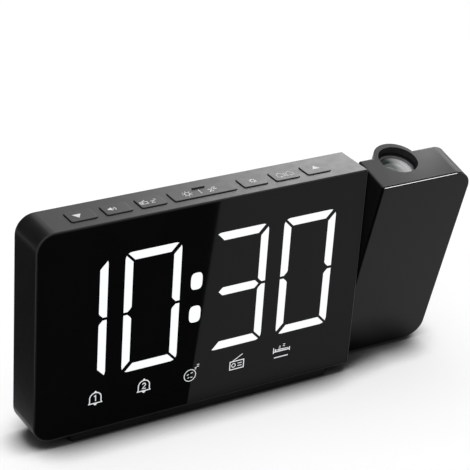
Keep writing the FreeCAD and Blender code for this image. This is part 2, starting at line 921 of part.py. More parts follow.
def make_arm_cable():
    """Cable from the LED board down through the tube floor, round a bend and out through the hollow shaft."""
    low = tube_floor_top + 0.1
    start = Vector(cable_x, pivot_y, low)
    bend_top = Vector(cable_x, pivot_y, pivot_z + cable_bend)
    bend_end = Vector(cable_x - cable_bend, pivot_y, pivot_z)
    inset = cable_bend * (1 - sqrt(0.5))
    bend_middle = Vector(cable_x - inset, pivot_y, pivot_z + inset)
    end = on_axis(shaft_end - 1.0)
    path = Part.Wire([
        Part.LineSegment(start, bend_top).toShape(),
        Part.Arc(bend_top, bend_middle, bend_end).toShape(),
        Part.LineSegment(bend_end, end).toShape(),
    ])
    section = Part.Wire([Part.makeCircle(cable_radius, start, Vector(0, 0, -1))])
    return path.makePipeShell([section], True, False)


# Rear cover
cup_inner = cell_radius + cell_gap
lug_track = door_radius + lug_reach + lug_track_gap
cell_low = cover_front - lug_gap - lug_thickness - lug_gap
cell_seat = cell_low - cell_height
cup_floor = cell_seat - contact_thickness
foot_head_seat = pad_thickness + screw_head_height


def cell_point(y):
    return Vector(cell_left, y, cell_z)


def lug_sector(outer, inner, y0, y1, start_angle, sweep):
    """Part of a ring about the cell's axis, from start_angle over sweep degrees."""
    solid = ring(outer, inner, cell_point(y0), cell_point(y1))
    reach = outer * 2
    a0 = radians(start_angle)
    a1 = radians(start_angle + sweep)
    points = [
        cell_point(y0),
        cell_point(y0) + Vector(reach * cos(a0), 0, reach * sin(a0)),
        cell_point(y0) + Vector(reach * cos(a1), 0, reach * sin(a1)),
        cell_point(y0),
    ]
    return solid.common(Part.Face(Part.makePolygon(points)).extrude(Vector(0, y1 - y0, 0)))


def speaker_holes():
    """Places of the sound holes: a hexagonal pattern inside the loudspeaker's cone."""
    reach = speaker_radius - speaker_border
    rows = int(reach / (speaker_hole_pitch * sqrt(0.75))) + 1
    points = []
    for row in range(-rows, rows + 1):
        z = row * speaker_hole_pitch * sqrt(0.75)
        for column in range(-rows - 1, rows + 2):
            x = (column + 0.5 * (row % 2)) * speaker_hole_pitch
            if x * x + z * z <= reach * reach:
                points.append((speaker_left + x, speaker_z + z))
    return points


def main_board_corners():
    inset = main_post_inset
    x0 = main_board_left + inset
    x1 = main_board_left + main_board_width - inset
    z0 = bottom + main_board_rise + inset
    z1 = bottom + main_board_rise + main_board_height - inset
    return [(x0, z0), (x1, z0), (x1, z1), (x0, z1)]


usb_low = power_top
jack_low = power_top
jack_z = jack_low + jack_height / 2


def make_rear_cover():
    """Plate with the loudspeaker's ring, the cell cup, the main board's posts and the socket openings."""
    plate = body_slab(cover_rim + fit_gap, cover_front, rear)
    plate = plate.cut(rod(door_radius + door_gap, cell_point(cover_front - 1), cell_point(rear + 1)))
    cup = ring(lug_track + cup_wall, cup_inner, cell_point(cup_floor - cup_base), cell_point(cover_front))
    cup = cup.cut(rod(lug_track, cell_point(cell_low), cell_point(cover_front)))
    floor = rod(lug_track + cup_wall, cell_point(cup_floor - cup_base), cell_point(cup_floor))
    sound = Vector(speaker_left, cover_front, speaker_z)
    collar = ring(
        speaker_radius + fit_gap + speaker_ring, speaker_radius + fit_gap, sound - Vector(0, speaker_collar, 0), sound
    )
    parts = [plate, cup, floor, collar]
    for x, z in main_board_corners():
        parts.append(rod(main_post_radius, Vector(x, main_back, z), Vector(x, cover_front, z)))
    cover = join(parts)
    cuts = []
    for x, z in main_board_corners():
        cuts.append(rod(
            small_screw_radius + screw_gap, Vector(x, main_back, z), Vector(x, rear - 0.6, z)
        ))
    for x, z in cover_boss_points:
        cuts.append(rod(screw_radius + hole_gap, Vector(x, cover_front - 1, z), Vector(x, rear + 1, z)))
        cuts.append(rod(screw_head_radius + head_gap, Vector(x, rear - screw_head_height, z), Vector(x, rear + 1, z)))
    for x, z in speaker_holes():
        cuts.append(rod(speaker_hole, Vector(x, cover_front - 1, z), Vector(x, rear + 1, z)))
    for index in range(vent_count):
        z = frame_top - vent_drop - index * vent_pitch
        x = main_board_left + main_board_width / 2
        cuts.append(upright_slab(
            x - vent_length / 2, x + vent_length / 2, z - vent_height / 2, z + vent_height / 2,
            cover_front - 1, rear + 1, [vent_height * 0.45] * 4,
        ))
    cuts.append(box(
        usb_left - usb_width / 2 - fit_gap, usb_left + usb_width / 2 + fit_gap, cover_front - 1, rear + 1,
        usb_low - fit_gap, usb_low + usb_height + fit_gap,
    ))
    cuts.append(box(
        jack_left - jack_width / 2 - fit_gap, jack_left + jack_width / 2 + fit_gap, cover_front - 1, rear + 1,
        jack_low - fit_gap, jack_low + jack_height + fit_gap,
    ))
    notch_start = -unlock_angle - lug_angle / 2 - lug_turn_gap
    for start in (notch_start, notch_start + 180):
        cuts.append(lug_sector(
            lug_track, door_radius, cover_front - 0.5, rear + 1, start, lug_angle + 2 * lug_turn_gap
        ))
    return cover.cut(Part.makeCompound(cuts))


def make_cell_door():
    """Round door with a coin slot and two lugs that turn in under the cover."""
    disc = rod(door_radius, cell_point(rear - door_thickness), cell_point(rear))
    neck = rod(door_radius, cell_point(cell_low + 0.05), cell_point(rear - door_thickness))
    parts = [disc, neck]
    for start in (-lug_angle / 2, 180 - lug_angle / 2):
        parts.append(lug_sector(
            door_radius + lug_reach, door_radius - 1, cell_low + 0.05, cell_low + 0.05 + lug_thickness, start,
            lug_angle,
        ))
    door = join(parts)
    slot = box(
        cell_left - coin_slot_length / 2, cell_left + coin_slot_length / 2, rear - coin_slot_depth, rear + 1,
        cell_z - coin_slot_width / 2, cell_z + coin_slot_width / 2,
    )
    return door.cut(slot)


# Nodes
nodes = {}
buttons = button_centres()

nodes["housing"] = make_housing()
nodes["front_panel"] = round_rim(body_slab(panel_rim + 0.05, front, panel_back), front, 0.25)
nodes["rear_cover"] = make_rear_cover()

# Foot, its rubber sole and its screws
foot_front = front + foot_setback
foot_rear = foot_front + foot_depth
foot_low = bottom - foot_height
foot_solid = flat_slab(foot_left, foot_right, foot_front, foot_rear, foot_low, bottom, foot_radius)
sole_top = foot_low + pad_recess
sole = [foot_left + pad_margin, foot_right - pad_margin, foot_front + pad_margin, foot_rear - pad_margin]
foot_solid = foot_solid.cut(flat_slab(*sole, foot_low - 1, sole_top, foot_radius))
foot_screws = []
for screw_x in foot_screw_xs:
    seat_point = Vector(screw_x, 0, foot_head_seat)
    foot_solid = foot_solid.cut(rod(screw_head_radius + head_gap, Vector(screw_x, 0, foot_low), seat_point))
    foot_solid = foot_solid.cut(rod(screw_radius + hole_gap, Vector(screw_x, 0, foot_low), Vector(screw_x, 0, top)))
    foot_screws.append(case_screw(seat_point, Vector(0, 0, 1)))
nodes["foot"] = foot_solid
sole_gap = 0.05
nodes["foot_pad"] = flat_slab(
    sole[0] + sole_gap, sole[1] - sole_gap, sole[2] + sole_gap, sole[3] - sole_gap, sole_top - pad_thickness,
    sole_top, foot_radius - sole_gap,
)
nodes["foot_screws"] = Part.makeCompound(foot_screws)

# Buttons with their plungers, switches and board
for name, x, width in buttons:
    cap = button_cap(x, width)
    if name == "snooze_light":
        cap = join([cap, tactile_bar(x)])
    nodes["button_" + name] = cap
    nodes["plunger_" + name] = switch_plunger(x)
nodes["button_switches"] = Part.makeCompound([switch_body(x) for name, x, width in buttons])
button_board = box(
    buttons[0][1] - cap_width / 2 - board_margin, button_screw_xs[-1] + board_margin + 1,
    frame_back + 0.4, cover_front - 0.15, button_board_bottom, button_board_top,
)
screw_holes = []
board_screws = []
for screw_x in button_screw_xs:
    seat_point = Vector(screw_x, button_boss_y, button_board_bottom)
    screw_holes.append(rod(small_screw_radius + 0.1, seat_point, seat_point + Vector(0, 0, board_thickness)))
    board_screws.append(small_screw(seat_point, Vector(0, 0, 1), button_screw_length))
nodes["button_board"] = button_board.cut(Part.makeCompound(screw_holes))

# Display
guides = light_guides(panel_back, panel_back + guide_depth, 0.05)
nodes["display_segments"] = Part.makeCompound(guides)
light_box = upright_slab(frame_left, frame_right, frame_bottom, frame_top, panel_back, display_back, [0.5] * 4)
chambers = []
for x, z in led_points():
    reach = led_size / 2 + 0.3
    chambers.append(box(x - reach, x + reach, panel_back + guide_depth - 0.5, display_back, z - reach, z + reach))
nodes["display_frame"] = light_box.cut(Part.makeCompound(guides)).cut(Part.makeCompound(chambers))
display_board = box(
    frame_left, frame_right, display_back, display_board_back, frame_bottom,
    display_screw_z + display_boss_radius,
)
clearances = []
for x, z in cover_boss_points:
    clearances.append(rod(boss_radius + 0.4, Vector(x, display_back, z), Vector(x, display_board_back, z)))
for screw_x in display_screw_xs:
    seat_point = Vector(screw_x, display_board_back, display_screw_z)
    clearances.append(rod(small_screw_radius + 0.1, seat_point - Vector(0, board_thickness, 0), seat_point))
    board_screws.append(small_screw(seat_point, Vector(0, -1, 0), display_screw_length))
nodes["display_board"] = display_board.cut(Part.makeCompound(clearances))
leds = []
for x, z in led_points():
    half = led_size / 2
    leds.append(box(x - half, x + half, display_back - led_height, display_back, z - half, z + half))
nodes["display_leds"] = Part.makeCompound(leds)

# Main board with its chips, header, ribbon and wires
board_x0 = main_board_left
board_x1 = main_board_left + main_board_width
board_z0 = bottom + main_board_rise
board_z1 = board_z0 + main_board_height
main_board = box(board_x0, board_x1, main_front, main_back, board_z0, board_z1)
screw_holes = []
for x, z in main_board_corners():
    seat_point = Vector(x, main_front, z)
    screw_holes.append(rod(small_screw_radius + 0.1, seat_point, seat_point + Vector(0, board_thickness, 0)))
    board_screws.append(small_screw(seat_point, Vector(0, 1, 0), main_screw_length))
nodes["main_board"] = main_board.cut(Part.makeCompound(screw_holes))
chip_places = [(8.0, 12.0, 12.0, 12.0, 1.6), (26.0, 10.0, 8.0, 6.0, 1.4), (40.0, 22.0, 7.0, 7.0, 1.8)]
chips = []
for u, v, chip_width, chip_height, chip_thickness in chip_places:
    chips.append(box(
        board_x0 + u, board_x0 + u + chip_width, main_back, main_back + chip_thickness,
        board_z0 + v, board_z0 + v + chip_height,
    ))
nodes["board_chips"] = Part.makeCompound(chips)
header_length = 20.0
header_inset = 6.0
header_lift = 2.0
header_height = 2.5
header_x = board_x0 + header_inset
header_z = board_z0 + header_lift
nodes["board_header"] = box(
    header_x, header_x + header_length, display_board_back, main_front, header_z, header_z + header_height
)
ribbon_width = 8.0
ribbon_thickness = 0.3
ribbon_inset = 20.0
ribbon_x = board_x1 - ribbon_inset
ribbon_y = main_front + 0.4
nodes["button_ribbon"] = box(
    ribbon_x, ribbon_x + ribbon_width, ribbon_y, ribbon_y + ribbon_thickness,
    board_z1, button_board_bottom,
)
wire_radius = 0.45
wire_pitch = 1.8
wires = []
for step in (1, 2):
    x = usb_left + usb_width / 2 + step * wire_pitch
    y = (main_front + main_back) / 2
    wires.append(rod(wire_radius, Vector(x, y, power_top), Vector(x, y, board_z0)))
nodes["board_wires"] = Part.makeCompound(wires)

# Loudspeaker
def sound_point(y):
    return Vector(speaker_left, y, speaker_z)


gasket_front = cover_front - gasket_thickness
speaker_front = gasket_front - speaker_depth
basket = join([
    rod(speaker_radius, sound_point(gasket_front - 1.2), sound_point(gasket_front)),
    rod(speaker_radius * 0.72, sound_point(gasket_front - 2.8), sound_point(gasket_front)),
    rod(speaker_radius * 0.45, sound_point(speaker_front), sound_point(gasket_front)),
])
cone = Part.makeCone(
    speaker_radius * 0.3, speaker_radius * 0.85, 1.0, sound_point(gasket_front - 1.0), Vector(0, 1, 0)
)
nodes["speaker"] = basket.cut(cone)
nodes["speaker_gasket"] = ring(
    speaker_radius, speaker_radius * 0.88, sound_point(gasket_front), sound_point(cover_front)
)

# Coin cell, its contacts and its door
nodes["coin_cell"] = rod(cell_radius, cell_point(cell_seat), cell_point(cell_low))
centre_contact = box(
    cell_left - 2, cell_left + 2, cup_floor, cup_floor + contact_thickness, cell_z - 8, cell_z + 6
)
nodes["cell_contacts"] = centre_contact
nodes["cell_door"] = make_cell_door()

# Power board with the sockets
power_board = box(
    power_board_left, power_board_left + power_board_width, cover_front - fit_gap - power_board_depth,
    cover_front - fit_gap, power_bottom, power_top,
)
screw_holes = []
for x, y in power_screw_points:
    seat_point = Vector(x, y, power_top)
    screw_holes.append(rod(small_screw_radius + 0.1, seat_point - Vector(0, 0, board_thickness), seat_point))
    bite = board_thickness + power_board_lift + power_screw_bite
    board_screws.append(small_screw(seat_point, Vector(0, 0, -1), bite))
nodes["power_board"] = power_board.cut(Part.makeCompound(screw_holes))
nodes["board_screws"] = Part.makeCompound(board_screws)
mouth = rear - socket_inset
usb = box(
    usb_left - usb_width / 2, usb_left + usb_width / 2, mouth - usb_depth, mouth, usb_low, usb_low + usb_height
)
usb = usb.cut(box(
    usb_left - usb_width / 2 + usb_skin, usb_left + usb_width / 2 - usb_skin, mouth - usb_depth + 2, mouth,
    usb_low + usb_skin, usb_low + usb_height - usb_skin,
))
tongue = box(
    usb_left - usb_width / 2 + 1, usb_left + usb_width / 2 - 1, mouth - usb_depth + 1.5, mouth - 1.2,
    usb_low + usb_height - usb_skin - 2.4, usb_low + usb_height - usb_skin - 0.6,
)
nodes["usb_socket"] = join([usb, tongue])
jack = box(
    jack_left - jack_width / 2, jack_left + jack_width / 2, mouth - jack_depth, mouth,
    jack_low, jack_low + jack_height,
)
jack = jack.cut(rod(jack_bore, Vector(jack_left, mouth - jack_depth + 2, jack_z), Vector(jack_left, mouth, jack_z)))
pin = rod(jack_pin, Vector(jack_left, mouth - jack_depth + 1.5, jack_z), Vector(jack_left, mouth - 1.0, jack_z))
nodes["dc_jack"] = join([jack, pin])

# Cover screws
cover_screws = []
for x, z in cover_boss_points:
    cover_screws.append(case_screw(Vector(x, rear - screw_head_height, z), Vector(0, -1, 0)))
nodes["cover_screws"] = Part.makeCompound(cover_screws)

# Pivot pieces; the bush and the cable's still end belong to the body
nodes["pivot_bush"] = ring(bush_outer, bush_inner, on_axis(boss_end), on_axis(right))
nodes["pivot_cable_tail"] = rod(cable_radius, on_axis(board_x1), on_axis(shaft_end - 1.0))

# Arm pieces, built upright and then tilted about the shaft
arm = {}
arm["arm_shell"] = make_arm_shell()
arm["arm_front_plate"] = make_arm_plate()
arm["pivot_shaft"] = make_shaft()
arm["friction_spring"] = make_friction_spring()
arm["stop_washer"] = make_stop_washer()
arm["shaft_clip"] = make_shaft_clip()
arm["arm_cable"] = make_arm_cable()
arm["lens_barrel"] = make_barrel()
arm["projection_lens"] = make_projection_lens()
arm["lens_ring"] = make_lens_ring()
arm["focus_ring"] = make_focus_ring()
arm["slide_holder"] = make_slide_holder()
arm["time_lcd"] = box(
    optics_x - lcd_width / 2, optics_x + lcd_width / 2, optics_y - lcd_height / 2, optics_y + lcd_height / 2,
    arm_top - holder_start - lcd_thickness, arm_top - holder_start,
)
arm["condenser_lens"] = make_condenser()
arm["led_board"] = optics_rod(holder_bore + 0.9, led_board_start, holder_end)
led_half = projection_led_size / 2
led_low = arm_top - led_board_start
arm["projection_led"] = box(
    optics_x - led_half, optics_x + led_half, optics_y - led_half, optics_y + led_half,
    led_low, led_low + projection_led_height,
)
arm_screws = []
for x, z in post_points:
    arm_screws.append(case_screw(Vector(x, rear - screw_head_height, z), Vector(0, -1, 0)))
arm["arm_screws"] = Part.makeCompound(arm_screws)
for name, solid in arm.items():
    nodes[name] = tilt(solid)

os.makedirs("parts", exist_ok=True)
for name, solid in nodes.items():
    solid.exportStep("parts/" + name + ".step")
    print(name, len(solid.Solids), solid.isValid(), round(solid.Volume, 1))
print(len(nodes), "nodes")
print("pivot", round(pivot_y, 4), round(pivot_z, 4))
print("optics axis, upright", round(optics_x, 4), round(optics_y, 4), "cell", cell_left, cell_z)
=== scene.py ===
import json
from math import cos, pi, sin

import bpy
import numpy as np
from mathutils import Matrix, Vector

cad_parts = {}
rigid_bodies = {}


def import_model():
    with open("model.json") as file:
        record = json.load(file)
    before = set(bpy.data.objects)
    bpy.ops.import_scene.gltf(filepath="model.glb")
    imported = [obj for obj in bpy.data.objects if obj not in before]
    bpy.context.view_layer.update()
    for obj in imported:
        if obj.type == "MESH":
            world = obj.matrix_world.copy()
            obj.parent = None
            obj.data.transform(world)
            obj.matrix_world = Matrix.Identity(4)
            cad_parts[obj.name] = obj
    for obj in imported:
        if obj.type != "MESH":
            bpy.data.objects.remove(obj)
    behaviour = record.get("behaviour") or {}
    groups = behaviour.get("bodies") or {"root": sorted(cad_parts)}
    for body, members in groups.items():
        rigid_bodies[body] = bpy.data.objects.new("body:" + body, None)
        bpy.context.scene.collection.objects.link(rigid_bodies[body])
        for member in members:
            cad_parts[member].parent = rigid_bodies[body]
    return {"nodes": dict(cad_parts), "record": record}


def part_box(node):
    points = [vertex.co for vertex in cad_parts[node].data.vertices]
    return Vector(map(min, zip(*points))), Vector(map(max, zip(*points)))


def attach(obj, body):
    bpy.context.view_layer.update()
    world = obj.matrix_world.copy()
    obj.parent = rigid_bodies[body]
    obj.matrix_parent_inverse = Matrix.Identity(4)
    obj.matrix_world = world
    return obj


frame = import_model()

# Projection alarm clock: the looks of its pieces, its lit display, its key prints, the floor, lights and
# camera. The drawings of the display and the prints are in millimetres, and become metres where a mesh is
# made. Sizes and places in the studio are in metres.

for stray in list(bpy.data.objects):
    if stray.name not in frame["nodes"] and stray.type != "EMPTY":
        bpy.data.objects.remove(stray)
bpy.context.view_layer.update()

MM = 0.001
PANEL_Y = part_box("front_panel")[0].y / MM
CAP_Z = 93.7
LIFT = 0.03
PRINT_THICKNESS = 0.05
# Places across the width, in metres, where the lens colour runs from painted shade at its left to painted
# light at its right
LENS_PAINTED_SHADE_X = 0.0885
LENS_PAINTED_LIGHT_X = 0.0945

# Places of the colour sockets of a mix node, because its sockets for other kinds of value have the same names
MIX_FIRST = 6
MIX_SECOND = 7
MIX_RESULT = 2


# Materials

class Finish:
    """A material under construction: a principled shader and short calls for the nodes that feed it."""

    def __init__(self, name, colour, roughness, metallic=0.0, level=0.5):
        self.material = bpy.data.materials.new(name)
        self.material.use_nodes = True
        self.tree = self.material.node_tree
        self.tree.nodes.clear()
        output = self.tree.nodes.new("ShaderNodeOutputMaterial")
        self.shader = self.tree.nodes.new("ShaderNodeBsdfPrincipled")
        self.tree.links.new(self.shader.outputs["BSDF"], output.inputs["Surface"])
        self.shader.inputs["Base Color"].default_value = (*colour, 1)
        self.shader.inputs["Roughness"].default_value = roughness
        self.shader.inputs["Metallic"].default_value = metallic
        self.shader.inputs["Specular IOR Level"].default_value = level
        coordinates = self.tree.nodes.new("ShaderNodeTexCoord")
        self.place = coordinates.outputs["Object"]
        self.colour = colour
        self.normal = None

    def set(self, **values):
        """Constants on the shader's own sockets, with an underscore for each blank in a socket's name."""
        for name, value in values.items():
            self.shader.inputs[name.replace("_", " ")].default_value = value

    def stretch(self, x, y, z):
        """Object place scaled by a factor along each axis."""
        node = self.tree.nodes.new("ShaderNodeMapping")
        node.inputs["Scale"].default_value = (x, y, z)
        self.tree.links.new(self.place, node.inputs["Vector"])
        return node.outputs["Vector"]

    def noise(self, size_mm, detail=3.0, place=None):
        """Cloudy noise whose blobs are about size_mm across."""
        node = self.tree.nodes.new("ShaderNodeTexNoise")
        node.inputs["Scale"].default_value = 1 / (size_mm * MM)
        node.inputs["Detail"].default_value = detail
        self.tree.links.new(place or self.place, node.inputs["Vector"])
        return node.outputs["Fac"]

    def cells(self, size_mm):
        """Distance to the nearest of scattered points about size_mm apart."""
        node = self.tree.nodes.new("ShaderNodeTexVoronoi")
        node.inputs["Scale"].default_value = 1 / (size_mm * MM)
        self.tree.links.new(self.place, node.inputs["Vector"])
        return node.outputs["Distance"]

    def remap(self, value, low, high, new_low, new_high):
        """The span from low to high moved to the span from new_low to new_high, and held at its ends."""
        node = self.tree.nodes.new("ShaderNodeMapRange")
        for name, number in zip(("From Min", "From Max", "To Min", "To Max"), (low, high, new_low, new_high)):
            node.inputs[name].default_value = number
        self.tree.links.new(value, node.inputs["Value"])
        return node.outputs["Result"]

    def blend(self, factor, first, second):
        """Colour that runs from first to second with the factor; either is a colour or a node's output."""
        node = self.tree.nodes.new("ShaderNodeMix")
        node.data_type = "RGBA"
        self.tree.links.new(factor, node.inputs["Factor"])
        for socket, value in ((node.inputs[MIX_FIRST], first), (node.inputs[MIX_SECOND], second)):
            if isinstance(value, tuple):
                socket.default_value = (*value, 1)
            else:
                self.tree.links.new(value, socket)
        return node.outputs[MIX_RESULT]

    def mottle(self, size_mm, spread):
        """Colour that drifts by the share spread either way over blobs of size_mm."""
        dark = tuple(c * (1 - spread) for c in self.colour)
        light = tuple(c * (1 + spread) for c in self.colour)
        tone = self.remap(self.noise(size_mm), 0.3, 0.7, 0, 1)
        self.tone = self.blend(tone, dark, light)
        self.tree.links.new(self.tone, self.shader.inputs["Base Color"])
        return self

    def polish(self, size_mm, low, high):
        """Roughness that drifts between low and high over blobs of size_mm."""
        self.tree.links.new(
            self.remap(self.noise(size_mm, 4.0), 0.3, 0.7, low, high), self.shader.inputs["Roughness"]
        )

    def bump(self, height, depth_mm, strength=1.0):
        """Fine relief on top of any relief made before."""
        node = self.tree.nodes.new("ShaderNodeBump")
        node.inputs["Strength"].default_value = strength
        node.inputs["Distance"].default_value = depth_mm * MM
        self.tree.links.new(height, node.inputs["Height"])
        if self.normal:
            self.tree.links.new(self.normal, node.inputs["Normal"])
        self.normal = node.outputs["Normal"]
        self.tree.links.new(self.normal, self.shader.inputs["Normal"])

    def soften(self, radius_mm):
        """Shade sharp edges as if they had a small round."""
        node = self.tree.nodes.new("ShaderNodeBevel")
        node.samples = 4
        node.inputs["Radius"].default_value = radius_mm * MM
        self.normal = node.outputs["Normal"]
        self.tree.links.new(self.normal, self.shader.inputs["Normal"])

    def wear(self, radius_mm, worn):
        """Lighter rubbed edges: where the rounded normal and the face normal part, broken up by noise."""
        bevel = self.tree.nodes.new("ShaderNodeBevel")
        bevel.samples = 4
        bevel.inputs["Radius"].default_value = radius_mm * MM
        geometry = self.tree.nodes.new("ShaderNodeNewGeometry")
        dot = self.tree.nodes.new("ShaderNodeVectorMath")
        dot.operation = "DOT_PRODUCT"
        self.tree.links.new(bevel.outputs["Normal"], dot.inputs[0])
        self.tree.links.new(geometry.outputs["Normal"], dot.inputs[1])
        edge = self.remap(dot.outputs["Value"], 0.99, 0.8, 0, 0.5)
        patchy = self.remap(self.noise(1.4, 4.0), 0.35, 0.65, 0.2, 1)
        product = self.tree.nodes.new("ShaderNodeMath")
        product.operation = "MULTIPLY"
        self.tree.links.new(edge, product.inputs[0])
        self.tree.links.new(patchy, product.inputs[1])
        self.tree.links.new(
            self.blend(product.outputs["Value"], self.tone, worn), self.shader.inputs["Base Color"]
        )


def moulded(name, colour, roughness, level=0.3, grain=0.22, depth=0.0014, worn=None):
    """Moulded plastic with a spark-eroded grain, faint cloudiness and, where worn is given, rubbed edges."""
    finish = Finish(name, colour, roughness, level=level).mottle(14, 0.14)
    finish.polish(3.5, roughness - 0.02, roughness + 0.03)
    finish.soften(0.1)
    finish.bump(finish.noise(grain, 2.0), depth)
    finish.bump(finish.noise(grain * 5, 3.0), depth * 1.5, 0.6)
    if worn:
        finish.wear(0.35, worn)
    return finish.material


def polished(name, colour, level, roughness=0.03):
    """Gloss plastic: almost a mirror, with faint waviness from the mould and hairlines."""
    finish = Finish(name, colour, roughness, level=level).mottle(30, 0.1)
    finish.polish(9, roughness, roughness + 0.03)
    finish.bump(finish.noise(24, 1.0), 0.01, 0.25)
    hairs = finish.noise(0.6, 1.0, finish.stretch(0.05, 1, 1.4))
    finish.bump(finish.remap(hairs, 0.5, 0.8, 0, 1), 0.0004, 0.3)
    return finish.material


def metal(name, colour, roughness, brush=(1, 1, 1)):
    """Plated or brushed metal with fine drawn lines."""
    finish = Finish(name, colour, roughness, metallic=1.0).mottle(4, 0.08)
    finish.polish(1.2, roughness - 0.06, roughness + 0.1)
    finish.bump(finish.noise(0.15, 3.0, finish.stretch(*brush)), 0.003)
    return finish.material


def rubber(name, colour, grain=0.3):
    """Dull soft rubber or foam with a pebbled skin."""
    finish = Finish(name, colour, 0.8, level=0.25).mottle(6, 0.2)
    finish.polish(2, 0.72, 0.9)
    finish.bump(finish.cells(grain), 0.02)
    finish.bump(finish.noise(grain * 6), 0.02, 0.5)
    return finish.material


def circuit_board(name):
    """Green solder resist over faint straight tracks."""
    finish = Finish(name, (0.01, 0.1, 0.035), 0.35).mottle(8, 0.15)
    tracks = finish.noise(1.2, 1.0, finish.stretch(1, 1, 0.06))
    finish.tone = finish.blend(finish.remap(tracks, 0.52, 0.56, 0, 1), finish.tone, (0.02, 0.16, 0.06))
    finish.tree.links.new(finish.tone, finish.shader.inputs["Base Color"])
    finish.polish(1.5, 0.28, 0.42)
    finish.bump(tracks, 0.01, 0.5)
    return finish.material


def clear(name, colour, transmission, roughness):
    """Clear or milky optical plastic with faint unevenness."""
    finish = Finish(name, colour, roughness).mottle(3, 0.1)
    finish.polish(2.5, roughness, roughness + 0.03)
    finish.bump(finish.noise(5, 1.0), 0.004, 0.2)
    finish.set(Transmission_Weight=transmission, IOR=1.49, Coat_Weight=0.5, Coat_Roughness=0.02)
    return finish.material


def lens(name):
    """Moulded lens with painted shade at its left, near black, and painted light at its right, milky white.
    """
    finish = Finish(name, (0.5, 0.52, 0.51), 0.05)
    split = finish.tree.nodes.new("ShaderNodeSeparateXYZ")
    finish.tree.links.new(finish.place, split.inputs["Vector"])
    # Painted shade and painted light: the base colour runs across the width from near black to near white
    across = finish.remap(split.outputs["X"], LENS_PAINTED_SHADE_X, LENS_PAINTED_LIGHT_X, 0, 1)
    tone = finish.blend(across, (0.02, 0.035, 0.03), (0.95, 0.93, 0.94))
    mist = finish.remap(finish.noise(2.5), 0.3, 0.7, 0, 0.15)
    finish.tree.links.new(finish.blend(mist, tone, (0.3, 0.32, 0.31)), finish.shader.inputs["Base Color"])
    finish.polish(2.5, 0.04, 0.07)
    finish.bump(finish.noise(5, 1.0), 0.004, 0.2)
    finish.set(Transmission_Weight=0.1, IOR=1.49, Coat_Weight=0.3, Coat_Roughness=0.02)
    return finish.material


def glowing(name, colour, strength, spread):
    """Lit window: its light is a little uneven over its length, over a dark grey diffusing body."""
    finish = Finish(name, (0.12, 0.12, 0.12), 0.4, level=0.2).mottle(2.5, 0.04)
    low = tuple(c * (1 - spread) for c in colour)
    finish.tree.links.new(
        finish.blend(finish.remap(finish.noise(3.2, 2.0), 0.3, 0.7, 0, 1), low, colour),
        finish.shader.inputs["Emission Color"],
    )
    finish.set(Emission_Strength=strength)
    finish.polish(1.5, 0.35, 0.5)
    return finish.material


def printed(name, colour):
    """Matt screen print, a little thin and broken in places."""
    finish = Finish(name, colour, 0.6, level=0.3).mottle(0.7, 0.18)
    finish.polish(0.8, 0.5, 0.7)
    finish.bump(finish.noise(0.12, 2.0), 0.004)
    return finish.material


housing_black = moulded(
    "housing_black", (0.007, 0.007, 0.0074), 0.36, level=0.32, grain=0.42, depth=0.004,
    worn=(0.03, 0.03, 0.031),
)
cap_black = moulded("cap_black", (0.01, 0.01, 0.0105), 0.37, level=0.34, grain=0.18, worn=(0.05, 0.05, 0.052))
foot_black = moulded(
    "foot_black", (0.005, 0.005, 0.005), 0.45, level=0.12, grain=0.3, worn=(0.02, 0.02, 0.02)
)
arm_black = moulded("arm_black", (0.006, 0.006, 0.0063), 0.34, level=0.21)
inner_black = moulded("inner_black", (0.008, 0.008, 0.008), 0.5, level=0.2, grain=0.3)
panel_black = polished("panel_black", (0.0042, 0.0042, 0.0044), 0.13)
plate_black = polished("plate_black", (0.004, 0.004, 0.0043), 0.13, roughness=0.07)
barrel_black = moulded("barrel_black", (0.012, 0.012, 0.012), 0.42, level=0.3, grain=0.15)
ring_black = moulded("ring_black", (0.03, 0.03, 0.03), 0.42, grain=0.15)
trim_grey = moulded("trim_grey", (0.16, 0.16, 0.165), 0.3, level=0.5, grain=0.15, depth=0.002)
sole_rubber = rubber("sole_rubber", (0.015, 0.015, 0.015))
cable_rubber = rubber("cable_rubber", (0.02, 0.02, 0.02), 0.2)
gasket_foam = rubber("gasket_foam", (0.025, 0.025, 0.025), 0.5)
steel_plate = metal("steel_plate", (0.5, 0.5, 0.5), 0.3)
socket_steel = metal("socket_steel", (0.6, 0.6, 0.6), 0.24, (1, 0.1, 1))
contact_brass = metal("contact_brass", (0.6, 0.42, 0.15), 0.3, (1, 1, 0.1))
speaker_metal = metal("speaker_metal", (0.12, 0.12, 0.125), 0.4)
board_green = circuit_board("board_green")
ribbon_white = printed("ribbon_white", (0.6, 0.6, 0.55))
guide_milk = clear("guide_milk", (0.75, 0.75, 0.75), 0.3, 0.3)
lens_clear = lens("lens_clear")
lcd_clear = clear("lcd_clear", (0.25, 0.25, 0.3), 0.4, 0.1)
led_red = clear("led_red", (0.6, 0.02, 0.02), 0.5, 0.05)
display_white = glowing("display_white", (0.97, 0.99, 1.0), 0.96, 0.03)
icon_white = glowing("icon_white", (0.86, 0.88, 0.9), 0.85, 0.1)
print_grey = printed("print_grey", (0.75, 0.75, 0.76))

